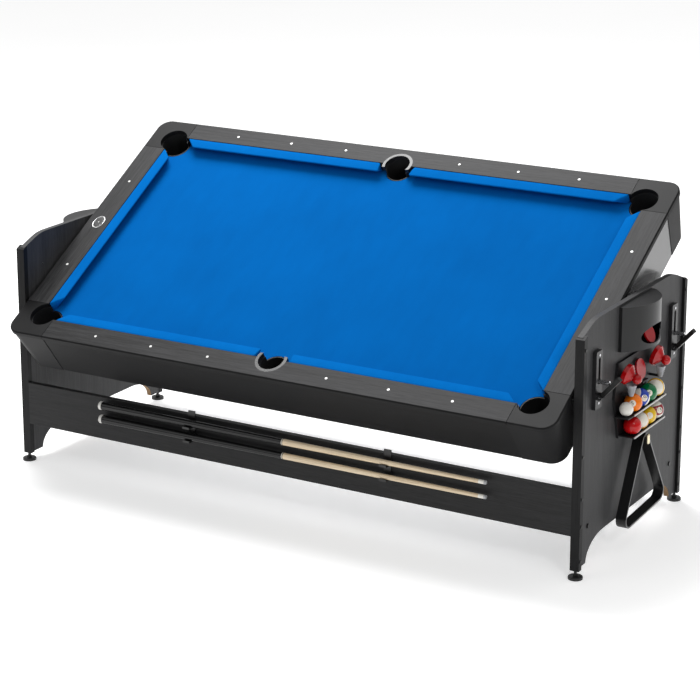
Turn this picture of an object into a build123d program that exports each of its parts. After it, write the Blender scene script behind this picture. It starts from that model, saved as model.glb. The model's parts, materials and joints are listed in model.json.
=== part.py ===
from build123d import *
import math
import os

os.makedirs("parts", exist_ok=True)

# A flip-over games table: a bed with a pool side and an air-hockey side turns between two end
# panels. X runs along the table, Y across it (the front is -Y), Z is up, and the origin is on the
# floor under the middle of the stand. All sizes are in millimetres and degrees.

# Stand
overall_length = 2100.0  # over the leg posts
stand_depth = 788.0
post_width = 30.0  # along X
post_depth = 20.0  # along Y
post_groove = 12.0  # how far the panel's edge runs into the post
post_bottom = 27.0
post_outer_top = 753.0
panel_thickness = 18.0
post_stands_proud = 10.0
panel_bottom = 30.0
panel_top = 793.0
shoulder_start = 262.0  # distance from the middle where the flat top ends
shoulder_radius = 180.0
shoulder_slope = 20.8
arch_top = 100.0
arch_flat = 200.0
arch_reach = 124.0  # along Y, from the flat of the arch to the inside of the leg
stretcher_thickness = 20.0
stretcher_bottom = 136.0
stretcher_top = 283.0
bracket_leg = 80.0
bracket_height = 44.0
bracket_sheet = 3.0
bracket_bolt_y = stand_depth / 2 - 79.0
bolt_radius = 4.0
bolt_head_radius = 7.5
bolt_head_height = 4.0
screw_radius = 2.0
screw_head_radius = 4.0
screw_head_height = 1.2
post_screw_head = (5.5, 2.0)  # radius and height
post_screw_heights = (56.0, 168.0, 255.0, 389.0, 720.0)

# Levelling feet
foot_radius = 23.0
foot_thickness = 9.0
foot_stem_radius = 5.0
foot_stem_top = 46.0
insert_radius = 8.0
insert_length = 14.0
foot_clearance = 0.05

# Turning bed, measured from its pivot axis
pivot_height = 701.4
bed_tilt = 30.3
bed_half_height = 93.0
bed_length = overall_length - 78.0
bed_width = 1095.0
rail_slab = 16.0
corner_radius = 48.0
taper_long_side = 22.0  # how far the long aprons lean in, top to bottom
taper_end = 15.0
lip = 4.0  # the rails overhang the aprons by this much
apron_thickness = 16.0
play_length = bed_length - 257.0
play_width = 859.0
cloth_depth = 35.0  # cloth below the tops of the rails
cloth_thickness = 1.0
board_thickness = 15.0
board_margin_end = 62.0  # the board stops this far inside the bed's ends and sides
board_margin_side = 47.5
cushion_depth = 38.0
nose_height = 32.0
cushion_gap = 0.3
rail_seat_width = 40.0  # the block under the rail's inner edge
seat_setback = 8.0  # it stops this far short of the corner caps
corner_pocket_offset = (25.5, 20.5)  # pocket centre outside the corner of the play area
corner_pocket_radius = 50.0
side_pocket_offset = 38.5
side_pocket_radius = 44.0
pocket_ring_width = 10.0
pocket_clearance = 2.0  # between the cups and the edges of the cloth and board
pocket_cup_wall = 2.5
pocket_cup_depth = 108.0
corner_jaw = 66.0
side_jaw = 60.0
corner_cap_length = 151.0  # along the long rail
corner_cap_width = 145.0  # along the end rail
cap_wall = 5.0
seam_gap = 1.6  # open joint between a top rail and a corner cap
cap_proud = 1.5
sight_radius = 4.5
sight_height = 0.5
sight_from_nose_side = 75.0
sight_from_nose_end = 79.3
badge_length = 60.0
badge_width = 42.0

# Hockey side of the bed
hockey_rail_height = 22.0
hockey_rail_width = 48.0
hockey_board = 12.0
plenum_height = 15.0
plenum_sheet = 3.0
goal_width = 300.0
goal_height = 11.0
bearer_thickness = 18.0
bearer_places = (-650.0, -300.0, 300.0, 650.0)
blower_radius = 80.0
blower_height = 66.0
blower_wall = 2.0
motor_radius = 26.0
motor_height = 26.0
fan_radius = 70.0
fan_blades = 8
fan_shaft_radius = 4.0
air_holes = 8
outlet_radius = 7.0
outlet_ring = 62.0
inlet_radius = 6.0
inlet_ring = 38.0

# Pivot
axle_radius = 15.0
axle_reach = overall_length / 2 + 14.0
axle_flange_radius = 50.0
axle_flange = 6.0
axle_block = 50.0
bush_wall = 5.0
bush_flange = 4.0
bush_flange_radius = 28.0
collar_radius = 24.0
collar_width = 12.0
running_clearance = 0.05

# Pivot housings, which also catch the pucks
housing_half_width = 125.0
housing_flank = 10.0
housing_depth = 72.0
housing_bottom = 645.0
housing_top = 786.0
housing_wall = 4.0
finger_hole_width = 150.0
finger_hole_height = 60.0
finger_hole_z = 685.0
puck_radius = 31.7
puck_thickness = 6.0

# Level locks
latch_y = 290.0
latch_width = 44.0
latch_bottom = 515.0
latch_top = 695.0
latch_depth = 13.0
latch_sheet = 3.0
latch_slot_width = 14.0
latch_slot_bottom = 591.0
latch_slot_top = 674.0
lever_pivot_z = 553.0
lever_pivot_out = 8.0  # from the plate's face
lever_width = 22.0
lever_thickness = 14.0
lever_length = 88.0
lever_open_angle = 42.0  # from vertical
lever_pin_radius = 3.0
lever_lug = 3.5
lock_pin_radius = 6.5
lock_pin_z = 600.0  # a closed pin passes just under the level bed
lock_pin_length = 63.0
lock_pin_stub = 2.0  # how far the open pin stops inside the panel's inner face
tilt_hole_radius = 12.0
latch_screw_heights = (532.0, 682.0)

# Accessory rack on the right-hand end
rack_plate = 8.0
rack_outline = ((138.0, 612.0), (160.0, 505.0), (121.0, 368.0))
shelf_sheet = 3.0
shelf_reach = 50.0
shelf_upper = 451.0
shelf_lower = 377.5
shelf_upper_left = 164.0
shelf_upper_right = 122.0
shelf_lower_half = 119.0
shelf_lip = 2.0
shelf_lip_thickness = 3.0
ball_radius = 28.575
ball_pitch = 58.0
cue_ball_radius = 22.0
ball_gap = 0.5
striker_y = 112.0
striker_base_radius = 33.0
striker_base = 16.0
striker_knob_radius = 15.5
striker_knob_at = 42.0
striker_tilt = 18.0
striker_height = 578.0
cup_top_radius = 17.0
cup_bottom_radius = 7.0
cup_height = 36.0
cup_top = 544.0
cup_wall = 2.0
cup_from_plate = 34.0
ledge_height = 528.0
ledge_half = 22.0

# Triangle and its hook
triangle_side = 327.0  # inside, for five rows of balls
triangle_wall = 5.0
triangle_depth = 34.0
triangle_apex_radius = 22.0
triangle_corner_radius = 26.0
triangle_back = overall_length / 2 + 6.0
hook_radius = 3.0
hook_height = 348.0
hook_y = -4.0
hook_rise = 4.0
hook_drop = 20.0
hook_end_radius = 5.5  # the rounded end that keeps the triangle on
hook_gap = 0.3
triangle_lean = 3.0

# Cues and their clips
cue_length = 1449.0
cue_butt_end = -701.0
cue_butt_radius = 14.5
cue_joint_radius = 10.5
cue_tip_radius = 6.3
cue_bumper = 12.0
cue_ferrule = 26.0
cue_y_gap = 23.0  # from the stretcher's front face to the cues' centre line
cue_heights = (263.0, 216.0)
clip_places = (-344.0, 392.0)
clip_width = 26.0
clip_sheet = 4.0
clip_top = 299.0
clip_bottom = 196.0
clip_lip = 3.5
cue_rest_gap = 0.3

# Places worked out from the sizes above
half_length = overall_length / 2
half_depth = stand_depth / 2
panel_outer = half_length - post_stands_proud
panel_inner = panel_outer - panel_thickness
post_inner = half_length - post_width
post_y = half_depth - post_depth / 2
panel_half_depth = half_depth - post_depth + post_groove
half_bed_length = bed_length / 2
half_bed_width = bed_width / 2
rail_top = bed_half_height
rail_under = rail_top - rail_slab
cloth_top = rail_top - cloth_depth
board_top = cloth_top - cloth_thickness
board_bottom = board_top - board_thickness
bed_bottom = -bed_half_height
hockey_face = bed_bottom + hockey_rail_height
hockey_inside = hockey_face + hockey_board
plenum_top = hockey_inside + plenum_height + plenum_sheet
half_play_length = play_length / 2
half_play_width = play_width / 2
rail_inner_y = half_play_width + cushion_depth
rail_inner_x = half_play_length + cushion_depth
apron_top_x = half_bed_length - lip
apron_top_y = half_bed_width - lip
board_half_x = half_bed_length - board_margin_end
board_half_y = half_bed_width - board_margin_side
cap_seam_x = half_bed_length - corner_cap_length
cap_seam_y = half_bed_width - corner_cap_width
corner_pocket = (half_play_length + corner_pocket_offset[0], half_play_width + corner_pocket_offset[1])
side_pocket_y = half_play_width + side_pocket_offset
plate_face = panel_outer + rack_plate
latch_face = panel_outer + latch_depth
ball_x = plate_face + ball_radius + 1.5
cue_y = -half_depth - cue_y_gap
bed_place = Pos(0, 0, pivot_height) * Rot(bed_tilt, 0, 0)
four_corners = [(sx, sy) for sx in (-1, 1) for sy in (-1, 1)]


def solids_of(*shapes):
    return [solid for shape in shapes for solid in shape.solids()]


def save(name, *shapes):
    export_step(Compound(children=solids_of(*shapes)), f"parts/{name}.step")


def save_bed(name, *shapes):
    save(name, *[bed_place * solid for solid in solids_of(*shapes)])


def box_between(low, high):
    size = [b - a for a, b in zip(low, high)]
    middle = [(a + b) / 2 for a, b in zip(low, high)]
    return Pos(*middle) * Box(*size)


def rod_x(radius, start, end, y, z):
    return Pos((start + end) / 2, y, z) * Rot(0, 90, 0) * Cylinder(radius, abs(end - start))


def rod_y(radius, start, end, x, z):
    return Pos(x, (start + end) / 2, z) * Rot(90, 0, 0) * Cylinder(radius, abs(end - start))


def rod_z(radius, start, end, x, y):
    return Pos(x, y, (start + end) / 2) * Cylinder(radius, abs(end - start))


def without(shape, tools):
    for tool in tools:
        shape -= tool
    return shape


def side_name(sx, sy):
    return ("front" if sy < 0 else "rear") + ("_left" if sx < 0 else "_right")


def turned_part(axis_place, *profile):
    """A body of revolution about X, from points of (distance along X, radius)."""
    points = [(profile[0][0], 0.0)] + list(profile) + [(profile[-1][0], 0.0)]
    face = Plane.XY * make_face(Polyline(*points, close=True))
    return axis_place * revolve(face, Axis.X, 360)


# The stand

def shoulder_points():
    angle = math.radians(shoulder_slope)
    y_end = shoulder_start + shoulder_radius * math.sin(angle)
    z_end = panel_top - shoulder_radius * (1 - math.cos(angle))
    y_mid = shoulder_start + shoulder_radius * math.sin(angle / 2)
    z_mid = panel_top - shoulder_radius * (1 - math.cos(angle / 2))
    return (y_mid, z_mid), (y_end, z_end)


def shoulder_height(y):
    (_, _), (y_end, z_end) = shoulder_points()
    return z_end - (y - y_end) * math.tan(math.radians(shoulder_slope))


def end_panel(sx):
    mid, end = shoulder_points()
    edge = (panel_half_depth, shoulder_height(panel_half_depth))
    outline = [
        Line((-edge[0], panel_bottom), (edge[0], panel_bottom)),
        Line((edge[0], panel_bottom), edge),
        Line(edge, end),
        ThreePointArc(end, mid, (shoulder_start, panel_top)),
        Line((shoulder_start, panel_top), (-shoulder_start, panel_top)),
        ThreePointArc((-shoulder_start, panel_top), (-mid[0], mid[1]), (-end[0], end[1])),
        Line((-end[0], end[1]), (-edge[0], edge[1])),
        Line((-edge[0], edge[1]), (-edge[0], panel_bottom)),
    ]
    face = make_face(Curve() + outline)
    rise = arch_top - panel_bottom
    face -= Pos(0, panel_bottom + rise / 2) * Rectangle(2 * arch_flat, rise)
    for s in (-1, 1):
        face -= Pos(s * arch_flat, panel_bottom) * Ellipse(arch_reach, rise)
    panel = extrude(Plane.YZ * face, panel_thickness)
    panel = Pos(panel_inner if sx > 0 else -panel_outer, 0, 0) * panel
    bore = axle_radius + running_clearance + bush_wall
    panel -= rod_x(bore, sx * panel_inner, sx * panel_outer, 0, pivot_height)
    for sy in (-1, 1):
        hole = lock_pin_radius + running_clearance
        panel -= rod_x(hole, sx * (panel_inner - 1), sx * (panel_outer + 1), sy * latch_y, lock_pin_z)
        panel -= foot_bore(sx, sy)
    return panel


def foot_bore(sx, sy):
    """The hole up into a leg for the threaded insert and the end of the foot's stem."""
    x, y = sx * (half_length - post_width / 2), sy * post_y
    bore = rod_z(insert_radius, post_bottom, post_bottom + insert_length, x, y)
    return bore + rod_z(foot_stem_radius + 0.5, post_bottom, foot_stem_top + 4, x, y)


def leg_post(sx, sy):
    post = box_between(
        (post_inner, half_depth - post_depth, post_bottom),
        (half_length, half_depth, shoulder_height(half_depth - post_depth)),
    )
    groove_inner = half_depth - post_depth
    post -= box_between(
        (panel_inner, groove_inner, panel_bottom),
        (panel_outer, groove_inner + post_groove, panel_top),
    )
    drop = shoulder_height(groove_inner) - post_outer_top
    wedge = Polyline(
        (groove_inner, post_outer_top + drop),
        (half_depth, post_outer_top + drop),
        (half_depth, post_outer_top),
        close=True,
    )
    post -= Pos(post_inner, 0, 0) * extrude(Plane.YZ * make_face(wedge), post_width)
    post -= foot_bore(1, 1)
    if sx < 0:
        post = mirror(post, Plane.YZ)
    return mirror(post, Plane.XZ) if sy < 0 else post


def stretcher(sy):
    y_out, y_in = sy * half_depth, sy * (half_depth - stretcher_thickness)
    low = (-post_inner, min(y_out, y_in), stretcher_bottom)
    return box_between(low, (post_inner, max(y_out, y_in), stretcher_top))


def stretcher_bracket(sx, sy):
    y_face = half_depth - stretcher_thickness
    z_low, z_high = stretcher_bottom, stretcher_bottom + bracket_height
    on_panel = box_between(
        (panel_inner - bracket_sheet, y_face - bracket_leg, z_low), (panel_inner, y_face, z_high)
    )
    on_stretcher = box_between(
        (panel_inner - bracket_leg, y_face - bracket_sheet, z_low), (panel_inner, y_face, z_high)
    )
    bracket = on_panel + on_stretcher
    if sx < 0:
        bracket = mirror(bracket, Plane.YZ)
    return mirror(bracket, Plane.XZ) if sy < 0 else bracket


def stand_fasteners():
    """Screws through the posts' outer cheeks, and bolts through the panels into the brackets."""
    found = []
    bolt_z = stretcher_bottom + bracket_height / 4
    for sx, sy in four_corners:
        screw_y = sy * (half_depth - post_depth / 2)
        inner = panel_inner + panel_thickness / 3
        for z in post_screw_heights:
            shank = rod_x(screw_radius, sx * inner, sx * half_length, screw_y, z)
            head_radius, head_height = post_screw_head
            head_end = sx * (half_length + head_height)
            found.append(shank + rod_x(head_radius, sx * half_length, head_end, screw_y, z))
        y = sy * bracket_bolt_y
        inner = panel_inner - bracket_sheet
        shank = rod_x(bolt_radius, sx * inner, sx * panel_outer, y, bolt_z)
        head_end = sx * (panel_outer + bolt_head_height)
        nut_end = sx * (inner - bolt_head_height)
        shank += rod_x(bolt_head_radius, sx * panel_outer, head_end, y, bolt_z)
        found.append(shank + rod_x(bolt_head_radius, sx * inner, nut_end, y, bolt_z))
    return found


def foot_insert(sx, sy):
    x, y = sx * (half_length - post_width / 2), sy * post_y
    ring = rod_z(insert_radius, post_bottom, post_bottom + insert_length, x, y)
    bore = foot_stem_radius + foot_clearance
    return ring - rod_z(bore, post_bottom, post_bottom + insert_length, x, y)


def levelling_foot(sx, sy):
    x, y = sx * (half_length - post_width / 2), sy * post_y
    disc = fillet(rod_z(foot_radius, 0, foot_thickness, x, y).edges().group_by(Axis.Z)[-1], 2.5)
    hex_nut = extrude(Pos(x, y, foot_thickness) * RegularPolygon(9, 6), 6)
    return disc + hex_nut + rod_z(foot_stem_radius, foot_thickness, foot_stem_top, x, y)


# The bed, in its own level frame

def rounded_slab(half_x, half_y, radius, z):
    return Pos(0, 0, z) * RectangleRounded(2 * half_x, 2 * half_y, radius)


def tapered_body(outset, radius):
    """The outside of the aprons, moved out by outset: wide under the rails, narrow at the bottom."""
    top = rounded_slab(apron_top_x + outset, apron_top_y + outset, radius, rail_under)
    low_x, low_y = apron_top_x - taper_end + outset, apron_top_y - taper_long_side + outset
    low = rounded_slab(low_x, low_y, radius, bed_bottom)
    return loft([low, top])


def pocket_places():
    corners = [(sx * corner_pocket[0], sy * corner_pocket[1]) for sx, sy in four_corners]
    return corners, [(0.0, sy * side_pocket_y) for sy in (-1, 1)]


def pocket_drills(extra, low, high):
    corners, sides = pocket_places()
    drills = [rod_z(corner_pocket_radius + extra, low, high, x, y) for x, y in corners]
    return drills + [rod_z(side_pocket_radius + extra, low, high, x, y) for x, y in sides]


def pool_board():
    board = box_between(
        (-board_half_x, -board_half_y, board_bottom), (board_half_x, board_half_y, board_top)
    )
    x, y = corner_pocket
    room = corner_pocket_radius + pocket_clearance
    cut = math.hypot(board_half_x, board_half_y)
    for sx, sy in four_corners:
        turn = math.degrees(math.atan2(sy, sx))
        board -= Pos(sx * x, sy * y, (board_top + board_bottom) / 2) * Rot(0, 0, turn) * Pos(
            cut / 2 - room, 0, 0
        ) * Box(cut, cut, board_thickness + 2)
    mouth = side_pocket_radius + pocket_clearance
    flat = mouth * math.tan(math.radians(22.5))
    for sy in (-1, 1):
        notch = Polyline(
            (-mouth, sy * (board_half_y + 1)), (-mouth, sy * (side_pocket_y - flat)),
            (-flat, sy * (side_pocket_y - mouth)), (flat, sy * (side_pocket_y - mouth)),
            (mouth, sy * (side_pocket_y - flat)), (mouth, sy * (board_half_y + 1)), close=True,
        )
        board -= extrude(Pos(0, 0, board_bottom - 1) * make_face(notch), board_thickness + 2)
    return board


def play_cloth():
    cloth = box_between(
        (-rail_inner_x, -rail_inner_y, board_top), (rail_inner_x, rail_inner_y, cloth_top)
    )
    for drill in pocket_drills(pocket_clearance, board_top - 1, cloth_top + 1):
        cloth -= drill
    return max(cloth.solids(), key=lambda solid: solid.volume)


def long_top_rail(sy):
    y_in, y_out = rail_inner_y, half_bed_width
    end = cap_seam_x - seam_gap
    slab = box_between((-end, y_in, rail_under), (end, y_out, rail_top))
    slab = chamfer(slab.edges().filter_by(Axis.X).group_by(Axis.Z)[-1].sort_by(Axis.Y)[-1:], lip)
    seat_x = cap_seam_x - seat_setback
    seat = box_between((-seat_x, y_in, cloth_top), (seat_x, y_in + rail_seat_width, rail_under))
    rail = slab + seat
    reach = side_pocket_radius + pocket_ring_width
    rail -= rod_z(reach, cloth_top - 1, rail_top + 1, 0, side_pocket_y)
    return mirror(rail, Plane.XZ) if sy < 0 else rail


def end_top_rail(sx):
    x_in, x_out = rail_inner_x, half_bed_length
    end = cap_seam_y - seam_gap
    slab = box_between((x_in, -end, rail_under), (x_out, end, rail_top))
    slab = chamfer(slab.edges().filter_by(Axis.Y).group_by(Axis.Z)[-1].sort_by(Axis.X)[-1:], lip)
    seat_out, seat_y = x_in + rail_seat_width, cap_seam_y - seat_setback
    rail = slab + box_between((x_in, -seat_y, cloth_top), (seat_out, seat_y, rail_under))
    return mirror(rail, Plane.YZ) if sx < 0 else rail


def corner_cap(sx, sy):
    """A moulded corner: the top with the pocket's mouth, and a skirt round the corner of the bed."""
    slab = extrude(rounded_slab(half_bed_length, half_bed_width, corner_radius, rail_under), rail_slab)
    slab = chamfer(slab.edges().group_by(Axis.Z)[-1], lip)
    slab = slab & box_between(
        (cap_seam_x, cap_seam_y, rail_under), (half_bed_length, half_bed_width, rail_top)
    )
    slab -= box_between(
        (cap_seam_x - 1, cap_seam_y - 1, rail_under - 1), (rail_inner_x, rail_inner_y, rail_top + 1)
    )
    x, y = corner_pocket
    ring = rod_z(corner_pocket_radius + pocket_ring_width, rail_under, rail_top, x, y)
    ring &= box_between((cap_seam_x, cap_seam_y, rail_under), (half_bed_length, half_bed_width, rail_top))
    skirt = tapered_body(cap_proud, corner_radius) - tapered_body(cap_proud - cap_wall, corner_radius)
    skirt &= box_between(
        (cap_seam_x, cap_seam_y, bed_bottom), (half_bed_length + 9, half_bed_width + 9, rail_under)
    )
    mouth = corner_pocket_radius
    cap = slab + ring + skirt
    cap -= rod_z(mouth, rail_under - 1, rail_top + 1, x, y)
    cap -= Pos(x, y, (rail_under + rail_top) / 2) * Rot(0, 0, 45) * Pos(-mouth, 0, 0) * Box(
        2 * mouth, 1.5 * mouth, rail_slab + 2
    )
    cap = max(cap.solids(), key=lambda solid: solid.volume)
    if sx < 0:
        cap = mirror(cap, Plane.YZ)
    return mirror(cap, Plane.XZ) if sy < 0 else cap


def side_pocket_ring(sy):
    ring = rod_z(side_pocket_radius + pocket_ring_width, rail_under, rail_top, 0, side_pocket_y)
    ring -= rod_z(side_pocket_radius, rail_under - 1, rail_top + 1, 0, side_pocket_y)
    front = half_play_width + cushion_depth / 2
    reach = side_pocket_radius + pocket_ring_width + 1
    ring -= box_between((-reach, 0, rail_under - 1), (reach, front, rail_top + 1))
    return mirror(ring, Plane.XZ) if sy < 0 else ring


def pocket_cup(x, y, radius):
    top = rail_under
    cup = rod_z(radius, rail_top - pocket_cup_depth, top, x, y)
    cup = chamfer(cup.edges().group_by(Axis.Z)[0], pocket_cup_wall)
    inside = radius - pocket_cup_wall
    cup -= rod_z(inside, rail_top - pocket_cup_depth + pocket_cup_wall, top + 1, x, y)
    window = cloth_top
    sy = 1 if y > 0 else -1
    if x == 0:
        cut_end = sy * (half_play_width + cushion_depth / 2)
        low_y, high_y = min(0, cut_end), max(0, cut_end)
        return cup - box_between((-radius, low_y, window), (radius, high_y, top + 1))
    sx = 1 if x > 0 else -1
    turn = math.degrees(math.atan2(sy, sx))
    cut = Rot(0, 0, turn) * Pos(-radius, 0, 0) * Box(2 * radius, 1.6 * radius, 2 * (top - window))
    return cup - Pos(x, y, top) * cut


def cushion_section():
    """Nose at the origin, back of the cushion at +Y, cloth level at Z 0."""
    back = cushion_depth - cushion_gap
    height = cloth_depth - 1.5
    return make_face(
        Polyline(
            (0, nose_height - 4), (0, nose_height), (back, height), (back, 0.4), (back - 10, 0.4),
            close=True,
        )
    )


def cushion_bar(nose_start, nose_end, start_spread, end_spread):
    """A cushion along X whose ends are mitred out towards the back."""
    low, high = nose_start - start_spread, nose_end + end_spread
    bar = Pos(low, 0, 0) * extrude(Plane.YZ * cushion_section(), high - low)
    for nose, back, away in ((nose_start, low, low - 60), (nose_end, high, high + 60)):
        wedge = Polyline(
            (nose, -5), (nose, 0), (back, cushion_depth), (back, cushion_depth + 5),
            (away, cushion_depth + 5), (away, -5), close=True,
        )
        bar -= extrude(Plane.XY * make_face(wedge), cloth_depth + 5)
    return bar


def cushions():
    nose_end = half_play_length - corner_jaw
    long_bar = cushion_bar(side_jaw, nose_end, -6.0, cushion_depth)
    long_bar = Pos(0, half_play_width, cloth_top) * long_bar
    bars = []
    for sx, sy in four_corners:
        bar = long_bar if sx > 0 else mirror(long_bar, Plane.YZ)
        bars.append(mirror(bar, Plane.XZ) if sy < 0 else bar)
    nose_end = half_play_width - corner_jaw
    end_bar = cushion_bar(-nose_end, nose_end, cushion_depth, cushion_depth)
    for turn in (90, -90):
        bars.append(Rot(0, 0, turn) * Pos(0, half_play_length, cloth_top) * end_bar)
    return bars


def apron_shell():
    inner = tapered_body(-apron_thickness, corner_radius)
    return tapered_body(0, corner_radius) - inner


def long_aprons(shell):
    return [
        shell & box_between(
            (-cap_seam_x, min(0, sy * 600), bed_bottom), (cap_seam_x, max(0, sy * 600), rail_under)
        )
        for sy in (-1, 1)
    ]


def end_aprons(shell):
    found = []
    for sx in (-1, 1):
        apron = shell & box_between(
            (min(0, sx * 1100), -cap_seam_y, bed_bottom), (max(0, sx * 1100), cap_seam_y, rail_under)
        )
        apron -= rod_x(axle_radius + 2, sx * 900, sx * 1100, 0, 0)
        y, z = tilt_hole_place()
        found.append(apron - rod_x(tilt_hole_radius, sx * 900, sx * 1100, y, z))
    return found


def tilt_hole_place():
    """Where the front lock pins meet the end aprons while the bed stands at its tilt."""
    y, z = -latch_y, lock_pin_z - pivot_height
    turn = math.radians(bed_tilt)
    return y * math.cos(turn) + z * math.sin(turn), -y * math.sin(turn) + z * math.cos(turn)


def bed_bearers():
    half_y = board_half_y - 60
    found = [
        box_between(
            (x - bearer_thickness / 2, -half_y, plenum_top), (x + bearer_thickness / 2, half_y, board_bottom)
        )
        for x in bearer_places
    ]
    block_out = axle_block_face()
    for sx in (-1, 1):
        x_a, x_b = sorted((sx * block_out, sx * (block_out - axle_block)))
        block = box_between((x_a, -110, plenum_top), (x_b, 110, board_bottom))
        found.append(block)
    return found


def axle_block_face():
    return apron_top_x - taper_end - apron_thickness - axle_flange - 1


def pivot_axle(sx):
    start = axle_block_face()
    axle = rod_x(axle_flange_radius * 0.8, sx * start, sx * (start + axle_flange), 0, 0)
    return axle + rod_x(axle_radius, sx * start, sx * axle_reach, 0, 0)


def axle_collar(sx):
    end = axle_reach
    collar = rod_x(collar_radius, sx * (end - collar_width), sx * end, 0, 0)
    return collar - rod_x(axle_radius, sx * (end - collar_width - 1), sx * (end + 1), 0, 0)


def pivot_bush(sx):
    outer = axle_radius + running_clearance + bush_wall
    bush = rod_x(outer, sx * panel_inner, sx * panel_outer, 0, pivot_height)
    flange_end = sx * (panel_outer + bush_flange)
    bush += rod_x(bush_flange_radius, sx * panel_outer, flange_end, 0, pivot_height)
    bore = axle_radius + running_clearance
    return bush - rod_x(bore, sx * (panel_inner - 1), sx * (panel_outer + 9), 0, pivot_height)


def hockey_board_panel():
    half_x, half_y = apron_top_x - taper_end - apron_thickness - 2, board_half_y - 1
    return box_between((-half_x, -half_y, hockey_face), (half_x, half_y, hockey_inside))


def plenum():
    """A shallow tray under the hockey board: a sheet with a rim, holding the blown air."""
    half_x, half_y = board_half_x - 120, board_half_y - 70
    tray = box_between((-half_x, -half_y, hockey_inside), (half_x, half_y, plenum_top))
    rim = 12.0
    tray -= box_between(
        (-half_x + rim, -half_y + rim, hockey_inside - 1),
        (half_x - rim, half_y - rim, plenum_top - plenum_sheet),
    )
    return without(tray, ring_of_rods(outlet_radius, outlet_ring, hockey_inside, plenum_top + 1))


def ring_of_rods(radius, ring, low, high):
    turns = [2 * math.pi * k / air_holes for k in range(air_holes)]
    return [rod_z(radius, low, high, ring * math.cos(t), ring * math.sin(t)) for t in turns]


def hockey_rails():
    half_x, half_y = apron_top_x - taper_end - apron_thickness - 2, board_half_y - 1
    inner_x, inner_y = half_x - hockey_rail_width, half_y - hockey_rail_width
    found = []
    for sy in (-1, 1):
        y_a, y_b = sorted((sy * inner_y, sy * half_y))
        found.append(box_between((-half_x, y_a, bed_bottom), (half_x, y_b, hockey_face)))
    for sx in (-1, 1):
        x_a, x_b = sorted((sx * inner_x, sx * half_x))
        rail = box_between((x_a, -inner_y, bed_bottom), (x_b, inner_y, hockey_face))
        slot_a, slot_b = sorted((sx * (inner_x - 1), sx * (half_x - 6)))
        half_goal = goal_width / 2
        slot = box_between(
            (slot_a, -half_goal, hockey_face - goal_height), (slot_b, half_goal, hockey_face + 1)
        )
        found.append(rail - slot)
    return found


def blower_housing():
    z_low, z_high = plenum_top, plenum_top + blower_height
    shell = rod_z(blower_radius, z_low, z_high, 0, 0)
    shell -= rod_z(blower_radius - blower_wall, z_low + blower_wall, z_high - blower_wall, 0, 0)
    shell = without(shell, ring_of_rods(outlet_radius, outlet_ring, z_low - 1, z_low + blower_wall + 1))
    shell = without(shell, ring_of_rods(inlet_radius, inlet_ring, z_high - blower_wall - 1, z_high + 1))
    return shell - rod_z(motor_radius, z_high - blower_wall - 1, z_high + 1, 0, 0)


def blower_motor():
    z_high = plenum_top + blower_height
    motor = rod_z(motor_radius, z_high - motor_height, z_high, 0, 0)
    return motor + rod_z(fan_shaft_radius, z_high - motor_height - 22, z_high - motor_height, 0, 0)


def blower_fan():
    z_low = plenum_top + blower_wall + 3
    z_high = plenum_top + blower_height - blower_wall - 3
    disc_top = z_low + 3
    fan = rod_z(fan_radius, z_low, disc_top, 0, 0) + rod_z(12, disc_top, disc_top + 12, 0, 0)
    for k in range(fan_blades):
        blade = Pos((motor_radius + 8 + fan_radius) / 2, 0, (disc_top + z_high) / 2)
        blade *= Rot(0, 0, 35) * Box(fan_radius - motor_radius - 16, 3, z_high - disc_top)
        fan += Rot(0, 0, 360 * k / fan_blades) * blade
    return fan - rod_z(fan_shaft_radius + running_clearance, z_low - 1, disc_top + 13, 0, 0)


def rail_sights():
    """White dots let into the rails, and a plain oval badge in the middle of the left-hand rail."""
    found = []
    x_step, y_step = play_length / 8, play_width / 4
    side_y, end_x = half_play_width + sight_from_nose_side, half_play_length + sight_from_nose_end
    places = [(k * x_step, sy * side_y) for k in (-3, -2, -1, 1, 2, 3) for sy in (-1, 1)]
    places += [(sx * end_x, k * y_step) for sx in (-1, 1) for k in (-1, 1)] + [(end_x, 0.0)]
    for x, y in places:
        found.append(rod_z(sight_radius, rail_top, rail_top + sight_height, x, y))
    badge = extrude(Pos(-end_x, 0, rail_top) * Ellipse(badge_width / 2, badge_length / 2), 1.0)
    return found + [badge]


# Fittings on the end panels

def housing_profile(inset):
    half_width, depth = housing_half_width - inset, housing_depth - inset
    corner, tip = (housing_flank, half_width), (depth, 0.0)
    arc = ThreePointArc((corner[0], -half_width), tip, corner)
    walls = Polyline(corner, (0.0, half_width), (0.0, -half_width), (corner[0], -half_width))
    return make_face(Curve() + [arc, walls])


def puck_housing(sx):
    height = housing_top - housing_bottom
    shell = extrude(Pos(panel_outer, 0, housing_bottom) * housing_profile(0), height)
    inside = Pos(panel_outer, 0, housing_bottom + housing_wall) * housing_profile(housing_wall)
    shell -= extrude(inside, height - 2 * housing_wall)
    hole = Ellipse(finger_hole_width / 2, finger_hole_height / 2)
    start = panel_outer + housing_flank + 4
    shell -= extrude(Plane.YZ.offset(start) * Pos(0, finger_hole_z) * hole, housing_depth)
    return mirror(shell, Plane.YZ) if sx < 0 else shell


def stored_pucks():
    """One puck leaning in the right-hand housing, one on the rack's small ledge."""
    lean = 25.0
    up = puck_radius * math.cos(math.radians(lean)) + puck_thickness / 2
    floor = housing_bottom + housing_wall
    disc = Cylinder(puck_radius, puck_thickness)
    caught = Pos(panel_outer + 46, 0, floor + up + 0.5) * Rot(0, 90 - lean, 0) * disc
    lean = 14.0
    up = puck_radius * math.cos(math.radians(lean)) + puck_thickness / 2
    stored = Pos(plate_face + 14, 0, ledge_height + up) * Rot(0, 90 - lean, 0) * disc
    return [caught, stored]


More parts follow.
